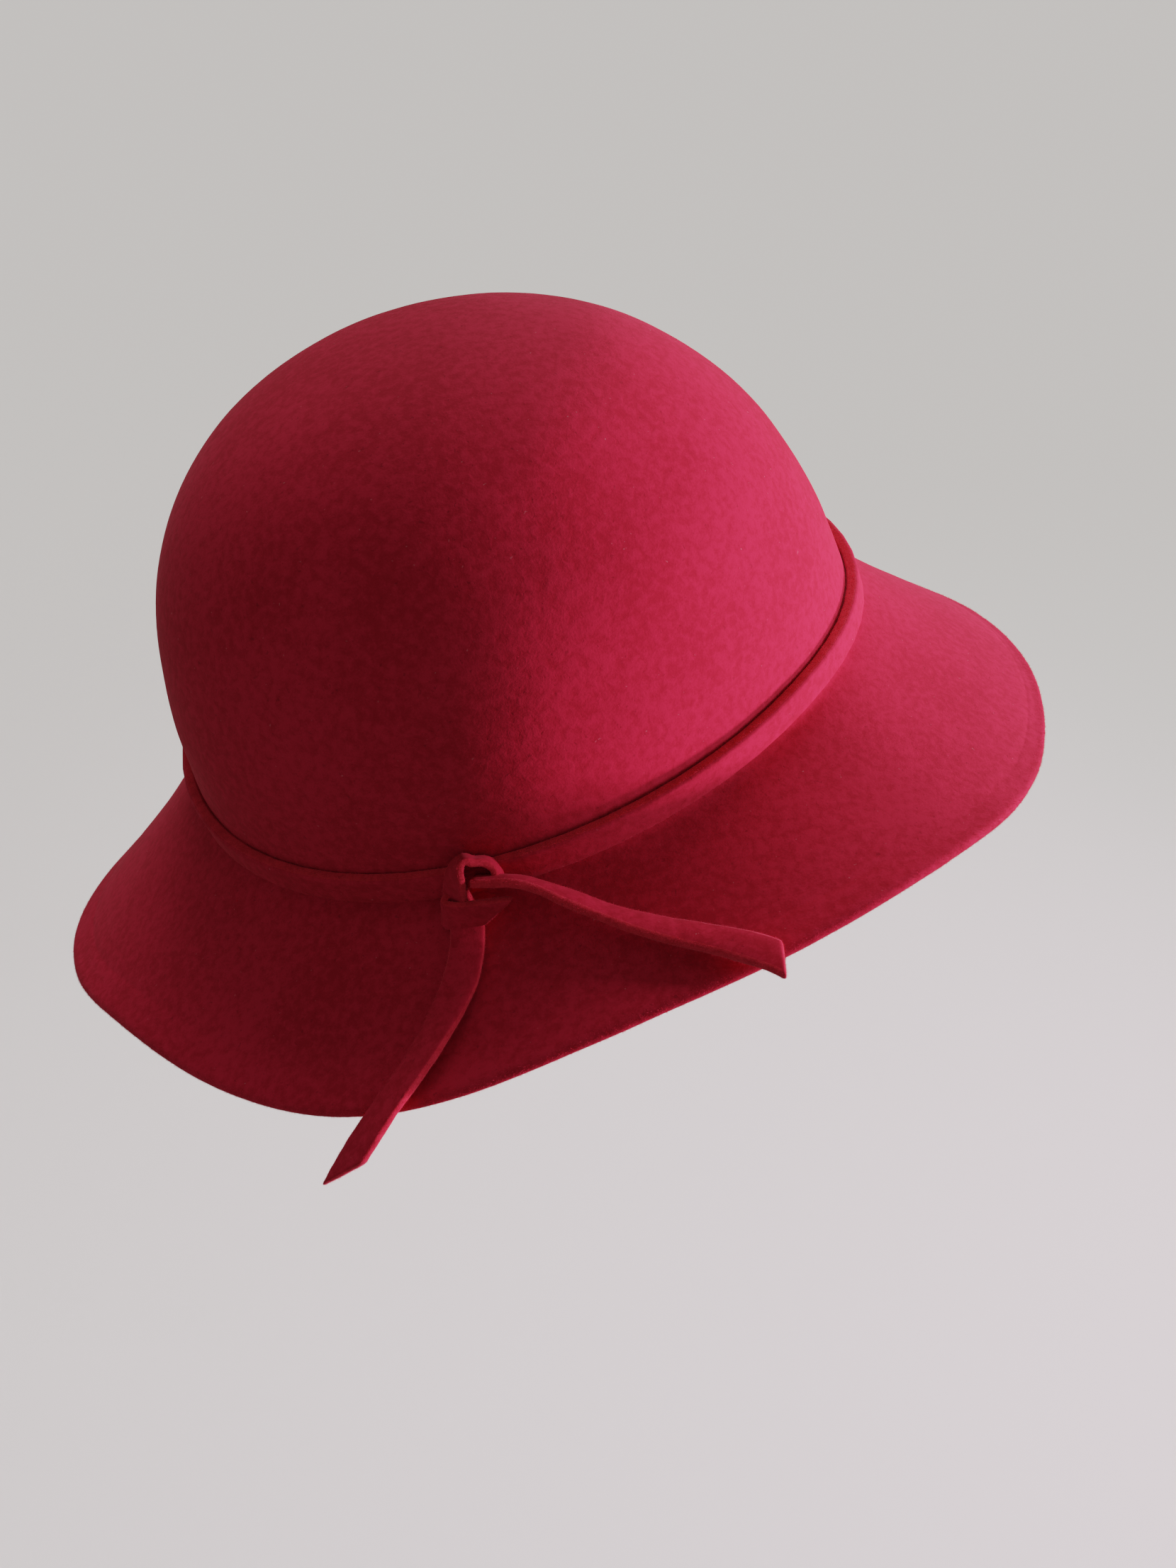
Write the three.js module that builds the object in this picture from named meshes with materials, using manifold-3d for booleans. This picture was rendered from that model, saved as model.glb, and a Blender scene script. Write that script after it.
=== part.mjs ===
// A wool felt cloche with a soft, turned-down brim. Crown and brim are one piece of felt, with the brim's
// edge folded under as a hem. A narrow felt band goes round the foot of the crown and is knotted on the
// wearer's right, and its two ends hang free: one back over the brim and past its edge, one forward.
//
// Millimetres. +Z goes up through the crown, +X is the front of the hat and +Y the wearer's left.
// The origin is the middle of the head opening, level with the foot of the crown.

import * as THREE from 'three';
import { mergeVertices } from 'three/addons/utils/BufferGeometryUtils.js';
import Module from 'manifold-3d';

// ---- driving dimensions ----

const FELT = 2.2; // thickness of the crown, the brim and every strap
const GAP = 0.3; // clearance between separate pieces

// The foot of the crown, outside the felt: an egg shape, narrower in front.
const FOOT_FRONT = 100;
const FOOT_BACK = 102;
const FOOT_SIDE = 86.5;
const EGG = 0.083; // share by which the front half is narrower and the back half wider

// The crown: how far it reaches from the axis to the front, the back and either side at each height.
const CROWN = [
  { height: 0, front: 100, back: 102, side: 86.5 },
  { height: 10, front: 97.8, back: 101, side: 86 },
  { height: 20, front: 95.8, back: 99.2, side: 85 },
  { height: 31, front: 93.2, back: 97, side: 83.2 },
  { height: 46, front: 87.6, back: 92.1, side: 78.9 },
  { height: 61, front: 79.6, back: 85.4, side: 72.1 },
  { height: 76, front: 66, back: 74.3, side: 61.6 },
  { height: 87, front: 53, back: 62, side: 51 },
  { height: 95, front: 37.6, back: 47.6, side: 38.1 },
  { height: 100.3, front: 18, back: 29.5, side: 22.5 },
  { height: 102.2, front: -5.7, back: 5.7, side: 0 },
];

// The brim: its felt measured from the crown's foot to the edge, how steeply it falls, and how far its
// middle sags below a straight line, at each turn from the front (0) by the wearer's left (90) and the
// back (180).
const BRIM = [
  { turn: 0, length: 67.5, slope: 45.5, sag: 2 },
  { turn: 30, length: 62.5, slope: 52.5, sag: 2 },
  { turn: 60, length: 53, slope: 40, sag: 2 },
  { turn: 90, length: 47, slope: 30, sag: 2 },
  { turn: 120, length: 50, slope: 33, sag: 2 },
  { turn: 150, length: 59.5, slope: 48, sag: 2 },
  { turn: 180, length: 73, slope: 32, sag: 2 },
  { turn: 210, length: 54, slope: 21, sag: 2 },
  { turn: 240, length: 52, slope: 19, sag: 2 },
  { turn: 270, length: 43, slope: 15, sag: 2 },
  { turn: 300, length: 50, slope: 14, sag: 2 },
  { turn: 330, length: 62.5, slope: 35, sag: 2 },
];
const BRIM_RINGS = 8; // rings between the corner at the crown and the hem
const CORNER = 3.5; // where the crown turns into the brim, measured each way from the corner

const HEM = 9; // width of the edge folded under
const HEM_THICKNESS = 4; // both layers, pressed together
const HEM_DIMPLE = 0.6; // depth of the pressed line that shows the hem from above
const EDGE_ROUND = 1.3; // how far the fold bulges past the brim's edge

const COLUMNS = 60; // turns around the hat
const CROWN_RINGS = 16;

// The band: a flat strap standing on edge around the foot, a little further off the crown at its top.
const BAND_WIDTH = 8.5;
const BAND_LIFT = 1.6; // its lower edge above the corner
const BAND_OFF = 0.7; // its inner face off the crown at its lower edge
const BAND_OFF_TOP = 1.4; // and at its upper edge

// The knot, at this turn around the foot: a wedge that stands on the brim in front of the band, thin at
// its top and deep at its foot, seen from outside as this outline (forward along the band, and up).
const KNOT_TURN = 255.5;
const KNOT_OUTLINE = [
  { forward: -8.5, up: 1.5 },
  { forward: -5.5, up: 0 },
  { forward: 2, up: 0 },
  { forward: 9, up: 4.5 },
  { forward: 8, up: 8 },
  { forward: 2, up: 10 },
  { forward: 0, up: 15.5 },
  { forward: -4, up: 15.5 },
  { forward: -7.5, up: 12 },
  { forward: -8.8, up: 7 },
];
const KNOT_TOP = 15.5;
const KNOT_TOP_DEPTH = 3.2;
const KNOT_FOOT_DEPTH = 6.5;
const KNOT_FOOT_DROP = 1.2; // how far the outer edge of its foot comes down with the brim
const KNOT_BEVEL = 1.2;
const LOOP = { forward: 4, up: 12.6, radius: 3.3, thickness: 1.35 }; // the small loop standing at its top

// The two free ends: the middle of the strap, and how far its front or inner side is lifted, in degrees.
const TIE_WIDTH = 8.5;
const TIE_STEPS = 22;
const TIE_CUT = 0.18; // share of a tie end that its slanted cut takes up
const TIE_END_BACK = [
  { x: -32, y: -97.2, z: -1.6, lift: -5 },
  { x: -34.6, y: -103.4, z: -4, lift: -5 },
  { x: -38.7, y: -109.8, z: -6.4, lift: -5 },
  { x: -45.4, y: -116.2, z: -8.8, lift: -6 },
  { x: -52.6, y: -121.6, z: -10.6, lift: -2 },
  { x: -62.4, y: -129.1, z: -14.2, lift: 8 },
  { x: -69.5, y: -133.6, z: -18.6, lift: 16 },
  { x: -76.2, y: -136.6, z: -23.8, lift: 20 },
];
const TIE_BACK_SLANT = -4; // how far the cut end is shifted along the strap at its front or inner edge
const TIE_END_FRONT = [
  { x: -16.5, y: -93.6, z: 6, lift: -43 },
  { x: -8.4, y: -97, z: 3, lift: -40 },
  { x: 5, y: -107, z: -1.2, lift: -28 },
  { x: 19.7, y: -115.7, z: -3.4, lift: -14 },
  { x: 30, y: -124.6, z: -4, lift: -6 },
  { x: 37.5, y: -134.4, z: -3.8, lift: -4 },
];
const TIE_FRONT_SLANT = -2.5;

const FELT_RED = 0x8e1a2b;

// ---- small helpers ----

const radians = THREE.MathUtils.degToRad;

// One smooth value of the named column, at a place counted in rows, through four neighbouring rows.
function smooth(before, from, to, after, share) {
  const startSlope = (to - before) / 2;
  const endSlope = (after - from) / 2;
  const s2 = share * share;
  const s3 = s2 * share;
  return (
    (2 * s3 - 3 * s2 + 1) * from +
    (s3 - 2 * s2 + share) * startSlope +
    (3 * s2 - 2 * s3) * to +
    (s3 - s2) * endSlope
  );
}

function rowAt(rowNumber, place, columns) {
  const first = Math.floor(place);
  const [before, from, to, after] = [-1, 0, 1, 2].map((step) => rowNumber(first + step));
  const row = {};
  for (const column of columns) {
    row[column] = smooth(before[column], from[column], to[column], after[column], place - first);
  }
  return row;
}

// ---- the felt body ----

// A point of an outline around the axis, given the reach to the front, the back and the side.
function outlinePoint(turn, section) {
  const middle = (section.front - section.back) / 2;
  const half = (section.front + section.back) / 2;
  const egg = 1 - EGG * (section.eggShare ?? 1) * Math.cos(turn);
  return new THREE.Vector3(
    middle + half * Math.cos(turn),
    section.side * Math.sin(turn) * egg,
    section.height,
  );
}

const foot = { height: 0, front: FOOT_FRONT, back: FOOT_BACK, side: FOOT_SIDE };

function footPoint(turn) {
  return outlinePoint(turn, foot);
}

// Level and square to the foot's outline, pointing away from the crown.
function outward(turn) {
  const step = 0.01;
  const along = footPoint(turn + step).sub(footPoint(turn - step));
  return new THREE.Vector3(along.y, -along.x, 0).normalize();
}

// The crown's section at a place counted in rows of its table. Past the tip the rows come back mirrored,
// so the crown closes over smoothly.
function crownSection(place) {
  const last = CROWN.length - 1;
  const rowNumber = (index) => {
    if (index < 0) {
      const [row, next] = CROWN;
      return {
        height: 2 * row.height - next.height,
        front: 2 * row.front - next.front,
        back: 2 * row.back - next.back,
        side: 2 * row.side - next.side,
      };
    }
    if (index <= last) return CROWN[index];
    const row = CROWN[2 * last - index];
    return { height: row.height, front: -row.back, back: -row.front, side: -row.side };
  };
  const section = rowAt(rowNumber, place, ['height', 'front', 'back', 'side']);
  section.eggShare = 1 - place / last;
  return section;
}

function crownPoint(turn, place) {
  return outlinePoint(turn, crownSection(place));
}

function brimRow(turn) {
  const count = BRIM.length;
  const place = (THREE.MathUtils.euclideanModulo(turn, 2 * Math.PI) * count) / (2 * Math.PI);
  const rowNumber = (index) => BRIM[THREE.MathUtils.euclideanModulo(index, count)];
  return rowAt(rowNumber, place, ['length', 'slope', 'sag']);
}

// A point on top of the brim, this far along the felt from the corner.
function brimPoint(turn, distance) {
  const { length, slope, sag } = brimRow(turn);
  const share = distance / length;
  const drop = sag * 4 * share * (1 - share) + distance * Math.sin(radians(slope));
  return footPoint(turn)
    .addScaledVector(outward(turn), distance * Math.cos(radians(slope)))
    .sub(new THREE.Vector3(0, 0, drop));
}

// The outside of the felt up one column, from the brim's edge to the last ring below the tip, with the
// felt's thickness there and how much of the hem's pressed line falls on it.
function feltColumn(turn) {
  const { length } = brimRow(turn);
  const column = [];
  const add = (point, thickness, dimple = 0) => column.push({ point, thickness, dimple });
  for (const fromEdge of [0, HEM * 0.35, HEM * 0.7]) {
    add(brimPoint(turn, length - fromEdge), HEM_THICKNESS);
  }
  add(brimPoint(turn, length - HEM), HEM_THICKNESS, 1);
  add(brimPoint(turn, length - HEM * 1.08), FELT, 0.9);
  const flatEnd = length - HEM * 1.5;
  for (let ring = 0; ring < BRIM_RINGS; ring++) {
    add(brimPoint(turn, flatEnd + ((CORNER - flatEnd) * ring) / (BRIM_RINGS - 1)), FELT);
  }
  const below = brimPoint(turn, CORNER);
  const cornerPlace = CORNER / CROWN[1].height;
  const above = crownPoint(turn, cornerPlace);
  const corner = new THREE.QuadraticBezierCurve3(below, footPoint(turn), above);
  for (const share of [1 / 3, 2 / 3]) add(corner.getPoint(share), FELT);
  const tip = CROWN.length - 1;
  for (let ring = 0; ring < CROWN_RINGS; ring++) {
    const share = ring / CROWN_RINGS;
    add(crownPoint(turn, THREE.MathUtils.lerp(cornerPlace, tip, share)), FELT);
  }
  return column;
}

// Triangles that join rings of equal count, closed with a single point at the end.
function ringFaces(rings, firstIndex, tipIndex) {
  const faces = [];
  for (let ring = 0; ring < rings - 1; ring++) {
    for (let column = 0; column < COLUMNS; column++) {
      const next = (column + 1) % COLUMNS;
      const a = firstIndex + ring * COLUMNS + column;
      const b = firstIndex + ring * COLUMNS + next;
      faces.push(a, b, b + COLUMNS, a, b + COLUMNS, a + COLUMNS);
    }
  }
  const lastRing = firstIndex + (rings - 1) * COLUMNS;
  for (let column = 0; column < COLUMNS; column++) {
    faces.push(lastRing + column, lastRing + ((column + 1) % COLUMNS), tipIndex);
  }
  return faces;
}

function indexedGeometry(points, faces) {
  const geometry = new THREE.BufferGeometry();
  geometry.setAttribute('position', new THREE.Float32BufferAttribute(points.flatMap((p) => p.toArray()), 3));
  geometry.setIndex(faces);
  return geometry;
}

function feltBodyGeometry() {
  const turns = Array.from({ length: COLUMNS }, (_, column) => (2 * Math.PI * column) / COLUMNS);
  const columns = turns.map(feltColumn);
  const rings = columns[0].length;
  const tip = { point: crownPoint(0, CROWN.length - 1), thickness: FELT, dimple: 0 };
  const sheet = [];
  for (let ring = 0; ring < rings; ring++) {
    for (const column of columns) sheet.push(column[ring]);
  }
  sheet.push(tip);

  const outerFaces = ringFaces(rings, 0, sheet.length - 1);
  const outerSheet = indexedGeometry(sheet.map(({ point }) => point), outerFaces);
  outerSheet.computeVertexNormals();
  const normals = outerSheet.getAttribute('normal');
  const outer = [];
  const inner = [];
  sheet.forEach(({ point, thickness, dimple }, index) => {
    const normal = new THREE.Vector3().fromBufferAttribute(normals, index);
    outer.push(point.clone().addScaledVector(normal, -HEM_DIMPLE * dimple));
    inner.push(point.clone().addScaledVector(normal, -thickness));
  });

  // The rounded fold of the edge, between the outer and the inner sheet.
  const fold = turns.map((turn, column) => {
    const middle = outer[column].clone().add(inner[column]).multiplyScalar(0.5);
    const along = outer[column].clone().sub(outer[column + COLUMNS]).normalize();
    return middle.addScaledVector(along, EDGE_ROUND);
  });

  const innerStart = outer.length;
  const foldStart = innerStart + inner.length;
  const innerFaces = ringFaces(rings, innerStart, foldStart - 1);
  for (let face = 0; face < innerFaces.length; face += 3) {
    [innerFaces[face + 1], innerFaces[face + 2]] = [innerFaces[face + 2], innerFaces[face + 1]];
  }
  const foldFaces = [];
  for (let column = 0; column < COLUMNS; column++) {
    const next = (column + 1) % COLUMNS;
    const [a, b] = [foldStart + column, foldStart + next];
    foldFaces.push(a, b, next, a, next, column);
    foldFaces.push(b, a, innerStart + column, b, innerStart + column, innerStart + next);
  }
  return indexedGeometry([...outer, ...inner, ...fold], [...outerFaces, ...innerFaces, ...foldFaces]);
}

// ---- the straps ----

// Half of a strap's section, rounded at its edges: shares of its width and of its thickness.
const STRAP_SECTION = [
  { across: 1, out: -0.45 },
  { across: 1, out: 0.45 },
  { across: 0.86, out: 1 },
  { across: -0.86, out: 1 },
  { across: -1, out: 0.45 },
  { across: -1, out: -0.45 },
  { across: -0.86, out: -1 },
  { across: 0.86, out: -1 },
];

function bandGeometry() {
  const sides = STRAP_SECTION.length;
  const points = [];
  const faces = [];
  for (let column = 0; column < COLUMNS; column++) {
    const turn = (2 * Math.PI * column) / COLUMNS;
    for (const { across, out } of STRAP_SECTION) {
      const share = (1 + across) / 2;
      const height = BAND_LIFT + BAND_WIDTH * share;
      const off = THREE.MathUtils.lerp(BAND_OFF, BAND_OFF_TOP, share) + (FELT * (1 + out)) / 2;
      points.push(crownPoint(turn, height / CROWN[1].height).addScaledVector(outward(turn), off));
    }
    for (let side = 0; side < sides; side++) {
      const nextSide = (side + 1) % sides;
      const nextColumn = (column + 1) % COLUMNS;
      const [a, b] = [column * sides + side, column * sides + nextSide];
      const [c, d] = [nextColumn * sides + nextSide, nextColumn * sides + side];
      faces.push(a, b, c, a, c, d);
    }
  }
  return indexedGeometry(points, faces);
}

// A free end of the strap along its table, with the far end cut on a slant.
function tieGeometry(rows, slant) {
  const curve = new THREE.CatmullRomCurve3(rows.map(({ x, y, z }) => new THREE.Vector3(x, y, z)));
  const lift = new THREE.CatmullRomCurve3(rows.map((row) => new THREE.Vector3(row.lift, 0, 0)));
  const up = new THREE.Vector3(0, 0, 1);
  const sides = STRAP_SECTION.length;
  const points = [];
  const faces = [];
  for (let step = 0; step <= TIE_STEPS; step++) {
    const share = step / TIE_STEPS;
    const middle = curve.getPoint(share);
    const along = curve.getTangent(share);
    const level = up.clone().cross(along).normalize();
    const upright = along.clone().cross(level);
    const angle = radians(lift.getPoint(share).x);
    const across = level.clone().multiplyScalar(Math.cos(angle)).addScaledVector(upright, Math.sin(angle));
    const out = along.clone().cross(across);
    for (const corner of STRAP_SECTION) {
      const cutShift = slant * corner.across * Math.max(0, (share - 1 + TIE_CUT) / TIE_CUT);
      points.push(
        middle
          .clone()
          .addScaledVector(across, (corner.across * TIE_WIDTH) / 2)
          .addScaledVector(out, (corner.out * FELT) / 2)
          .addScaledVector(along, cutShift),
      );
    }
  }
  for (let step = 0; step < TIE_STEPS; step++) {
    for (let side = 0; side < sides; side++) {
      const nextSide = (side + 1) % sides;
      const [a, b] = [step * sides + side, step * sides + nextSide];
      faces.push(a, b, b + sides, a, b + sides, a + sides);
    }
  }
  const end = TIE_STEPS * sides;
  for (let side = 1; side < sides - 1; side++) {
    faces.push(0, side + 1, side);
    faces.push(end, end + side, end + side + 1);
  }
  return indexedGeometry(points, faces);
}

// ---- the knot ----

const wasm = await Module();
wasm.setup();

function toManifold(geometry) {
  const plain = geometry.clone();
  plain.deleteAttribute('normal');
  plain.deleteAttribute('uv');
  const merged = mergeVertices(plain, 1e-4);
  return new wasm.Manifold(
    new wasm.Mesh({
      numProp: 3,
      vertProperties: new Float32Array(merged.getAttribute('position').array),
      triVerts: new Uint32Array(merged.index.array),
    }),
  );
}

function fromManifold(solid) {
  const { vertProperties, triVerts } = solid.getMesh();
  const geometry = new THREE.BufferGeometry();
  geometry.setAttribute('position', new THREE.BufferAttribute(vertProperties, 3));
  geometry.setIndex(new THREE.BufferAttribute(triVerts, 1));
  return geometry;
}

// The knot in its own frame: x forward along the band, y up, z away from the crown.
function knotGeometry() {
  const outline = new THREE.Shape(KNOT_OUTLINE.map(({ forward, up }) => new THREE.Vector2(forward, up)));
  const wrap = new THREE.ExtrudeGeometry(outline, {
    depth: KNOT_FOOT_DEPTH - 2 * KNOT_BEVEL,
    bevelThickness: KNOT_BEVEL,
    bevelSize: KNOT_BEVEL,
    bevelOffset: -KNOT_BEVEL,
    bevelSegments: 2,
  });
  const corner = new THREE.Vector3();
  const corners = wrap.getAttribute('position');
  for (let index = 0; index < corners.count; index++) {
    corner.fromBufferAttribute(corners, index);
    const rise = corner.y / KNOT_TOP;
    const depth = (corner.z + KNOT_BEVEL) / KNOT_FOOT_DEPTH;
    corner.z = depth * THREE.MathUtils.lerp(KNOT_FOOT_DEPTH, KNOT_TOP_DEPTH, rise);
    corner.y -= depth * (1 - rise) * KNOT_FOOT_DROP;
    corners.setXYZ(index, corner.x, corner.y, corner.z);
  }
  const loop = new THREE.TorusGeometry(LOOP.radius, LOOP.thickness, 8, 16);
  loop.scale(1, 1, 1.2);
  loop.translate(LOOP.forward, LOOP.up, 1.2 * LOOP.thickness);
  return fromManifold(toManifold(wrap).add(toManifold(loop)));
}

function placeKnot(mesh) {
  const turn = radians(KNOT_TURN);
  const away = outward(turn);
  const forward = new THREE.Vector3(-away.y, away.x, 0);
  const up = new THREE.Vector3(0, 0, 1);
  mesh.quaternion.setFromRotationMatrix(new THREE.Matrix4().makeBasis(forward, up, away));
  mesh.position.copy(footPoint(turn)).addScaledVector(away, BAND_OFF + FELT + GAP);
}

// ---- the hat ----

function feltMesh(name, geometry) {
  const material = new THREE.MeshStandardMaterial({ color: FELT_RED, roughness: 0.95, metalness: 0 });
  const mesh = new THREE.Mesh(geometry, material);
  mesh.name = name;
  return mesh;
}

const hat = new THREE.Group();
hat.add(feltMesh('felt_body', feltBodyGeometry()));
hat.add(feltMesh('band', bandGeometry()));
const knot = feltMesh('knot', knotGeometry());
placeKnot(knot);
hat.add(knot);
hat.add(feltMesh('tie_end_back', tieGeometry(TIE_END_BACK, TIE_BACK_SLANT)));
hat.add(feltMesh('tie_end_front', tieGeometry(TIE_END_FRONT, TIE_FRONT_SLANT)));

export default hat;
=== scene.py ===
# %% [markdown]
# # A red felt cloche
# The hat is one shell of pressed wool felt, with a strap of the same felt knotted round its crown. The
# frame holds its true shape and size as plain CAD pieces. This file gives it the surface: the folded hem,
# the straps with their cut edges, the knot, the felt itself and its loose fibres. Lengths are in metres, in
# the frame's own axes: +X is the front of the hat, +Y the wearer's left and +Z up through the crown.
#
# The frame is loaded first, because every piece is placed by it.

# %% The frame
import math

import bpy
from mathutils import Matrix, Vector
from mathutils.kdtree import KDTree


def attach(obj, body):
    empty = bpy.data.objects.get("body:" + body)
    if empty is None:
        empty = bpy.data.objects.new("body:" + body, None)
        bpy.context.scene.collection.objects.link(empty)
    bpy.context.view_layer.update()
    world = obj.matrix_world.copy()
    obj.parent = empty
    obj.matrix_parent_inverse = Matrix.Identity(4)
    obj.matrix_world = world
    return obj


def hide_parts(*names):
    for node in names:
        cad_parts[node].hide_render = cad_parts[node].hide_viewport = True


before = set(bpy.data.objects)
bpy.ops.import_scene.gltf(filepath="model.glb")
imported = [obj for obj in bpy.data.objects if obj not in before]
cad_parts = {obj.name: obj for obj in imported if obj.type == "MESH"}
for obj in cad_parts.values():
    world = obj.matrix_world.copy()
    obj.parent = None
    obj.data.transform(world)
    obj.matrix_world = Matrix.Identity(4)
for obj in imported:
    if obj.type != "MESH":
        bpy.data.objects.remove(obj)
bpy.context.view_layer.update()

MM = 0.001

# %% [markdown]
# ## The camera
# It stands close to the hat, a little above it, and looks down across the knotted side. A camera can be
# turned by three angles, by a target it tracks, or by the two directions that its picture has. The two
# directions say it most plainly: which way is right in the picture, and which way is up. The third, which
# points backwards out of the picture, is their cross product.

# %% The camera
VIEW_FROM = Vector((14.4, -287.8, 211.2)) * MM
VIEW_RIGHT = Vector((0.9465, -0.2036, -0.2502))
VIEW_UP = Vector((0.3217, 0.6521, 0.6865))
FOCAL_LENGTH = 27.05  # camera lenses and sensors are in millimetres
SENSOR_HEIGHT = 36

camera_data = bpy.data.cameras.new("camera")
camera_data.sensor_fit = "VERTICAL"
camera_data.sensor_height = SENSOR_HEIGHT
camera_data.lens = FOCAL_LENGTH
camera_data.clip_start = 0.01
camera = bpy.data.objects.new("camera", camera_data)
bpy.context.collection.objects.link(camera)
backward = VIEW_RIGHT.cross(VIEW_UP).normalized()
sideways = VIEW_UP.cross(backward).normalized()
upward = backward.cross(sideways)
turned = Matrix((sideways, upward, backward)).transposed().to_4x4()
camera.matrix_world = Matrix.Translation(VIEW_FROM) @ turned
bpy.context.scene.camera = camera
print("camera at", [round(c, 3) for c in camera.location])

# %% [markdown]
# ## Two helpers
# An operator works on everything that is selected, and an imported frame arrives selected, so one helper
# selects a single piece. The other adds a modifier and applies it at once. Modifiers could stay live, but
# applied ones leave a plain mesh, which the next step can select faces and points on.

# %% Two helpers
def only(piece):
    if bpy.context.mode != "OBJECT":
        bpy.ops.object.mode_set(mode="OBJECT")
    bpy.ops.object.select_all(action="DESELECT")
    piece.select_set(True)
    bpy.context.view_layer.objects.active = piece


def apply_modifier(piece, kind, **settings):
    only(piece)
    modifier = piece.modifiers.new(kind.lower(), kind)
    for key, value in settings.items():
        setattr(modifier, key, value)
    bpy.ops.object.modifier_apply(modifier=modifier.name)


# %% [markdown]
# ## The felt's pattern
# Pressed wool felt has no weave. It is a mat of dyed fibres, so its colour is mottled at every size, from
# faint clouds a few centimetres wide down to the grain of single fibres. An image could be painted on, but
# noise textures in the solid itself need no unwrapping, have no seam and run on over every edge. They read
# Object coordinates, which are metres here, so a scale of 460 gives patches about 2 mm wide.
#
# These helpers each add one node and return the socket that holds its result, so that a finish can be
# written as a sum of layers.

# %% Noise and thresholds
def noise_layer(tree, place, scale, detail, distortion):
    layer = tree.nodes.new("ShaderNodeTexNoise")
    layer.inputs["Scale"].default_value = scale
    layer.inputs["Detail"].default_value = detail
    layer.inputs["Distortion"].default_value = distortion
    tree.links.new(place.outputs["Object"], layer.inputs["Vector"])
    return layer.outputs["Fac"]


def sharpened(tree, value, low, high):
    remap = tree.nodes.new("ShaderNodeMapRange")
    remap.interpolation_type = "SMOOTHSTEP"
    tree.links.new(value, remap.inputs["Value"])
    remap.inputs["From Min"].default_value = low
    remap.inputs["From Max"].default_value = high
    return remap.outputs["Result"]


# %% Sums and mixtures
def combined(tree, kind, first, second):
    node = tree.nodes.new("ShaderNodeMath")
    node.operation = kind
    for socket, value in zip(node.inputs, (first, second)):
        if isinstance(value, (int, float)):
            socket.default_value = value
        else:
            tree.links.new(value, socket)
    return node.outputs[0]


def part_of(tree, value, share):
    return combined(tree, "MULTIPLY", value, share)


def tinted(tree, share, first, second):
    mix = tree.nodes.new("ShaderNodeMix")
    mix.data_type = "RGBA"
    tree.links.new(share, mix.inputs["Factor"])
    for name, colour in (("A", first), ("B", second)):
        socket = [s for s in mix.inputs if s.name == name and s.type == "RGBA"][0]
        if isinstance(colour, tuple):
            socket.default_value = (*colour, 1)
        else:
            tree.links.new(colour, socket)
    return [s for s in mix.outputs if s.type == "RGBA"][0]


# %% [markdown]
# ## The felt's finish
# The finish has five layers of noise. Three of them, clouds, mottle and grain, add up to a tone that runs
# between a deep red and a brighter one. The fourth marks small pits where a fibre has been pulled out, and
# darkens them as painted shade, for the shade in such a dip. The fifth makes a few pale specks of lint. The
# same mottle, grain and pits raise and lower the surface a little as bump, because felt is nowhere smooth
# to
# a low light. Felt hardly shines: it is rough all over, and a little sheen stands for the nap that catches
# light at its edges.

# %% The felt's numbers
# Each layer: scale, detail, distortion
CLOUDS = (28, 2, 0.3)
MOTTLE = (460, 5, 0.3)
GRAIN = (1900, 3, 0.2)
PITS = (760, 2, 0.3)
SPECKS = (1000, 1, 0.2)
# How much of a layer goes into the colour
CLOUD_TONE = 0.5
GRAIN_TONE = 0.5
# The pits' share and darkness are painted shade: they darken the dips in the felt.
PIT_SHADE_SHARE = 0.4
PIT_SHADE_DARKNESS = 0.4
SPECK_SHARE = 0.3
# The stretch of each noise that is spread out from nothing to full
TONE_RANGE = (0.76, 1.24)
PIT_RANGE = (0.66, 0.76)
SPECK_RANGE = (0.765, 0.83)
# How much of a layer goes into the height
MOTTLE_HEIGHT = 0.8
GRAIN_HEIGHT = 0.25
PIT_DEPTH = 0.12
BUMP_STRENGTH = 0.5
SHEEN_COLOUR = (1.0, 0.22, 0.27)


# %% The tone of the felt, and its height
def felt_colour(tree, place, mottle, grain, pits, deep, bright, lint_colour):
    clouds = noise_layer(tree, place, *CLOUDS)
    specks = sharpened(tree, noise_layer(tree, place, *SPECKS), *SPECK_RANGE)
    tone = combined(tree, "ADD", part_of(tree, clouds, CLOUD_TONE), mottle)
    tone = combined(tree, "ADD", tone, part_of(tree, grain, GRAIN_TONE))
    colour = tinted(tree, sharpened(tree, tone, *TONE_RANGE), deep, bright)
    # The pits are darkened as painted shade, on top of the real dip that the bump gives them.
    pit_shade_colour = tuple(PIT_SHADE_DARKNESS * c for c in deep)
    colour = tinted(tree, part_of(tree, pits, PIT_SHADE_SHARE), colour, pit_shade_colour)
    return tinted(tree, part_of(tree, specks, SPECK_SHARE), colour, lint_colour)


def felt_bump(tree, mottle, grain, pits, relief):
    raised = part_of(tree, grain, GRAIN_HEIGHT)
    height = combined(tree, "ADD", part_of(tree, mottle, MOTTLE_HEIGHT), raised)
    height = combined(tree, "SUBTRACT", height, part_of(tree, pits, PIT_DEPTH))
    bump = tree.nodes.new("ShaderNodeBump")
    bump.inputs["Strength"].default_value = BUMP_STRENGTH
    bump.inputs["Distance"].default_value = relief
    tree.links.new(height, bump.inputs["Height"])
    return bump.outputs["Normal"]


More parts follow.
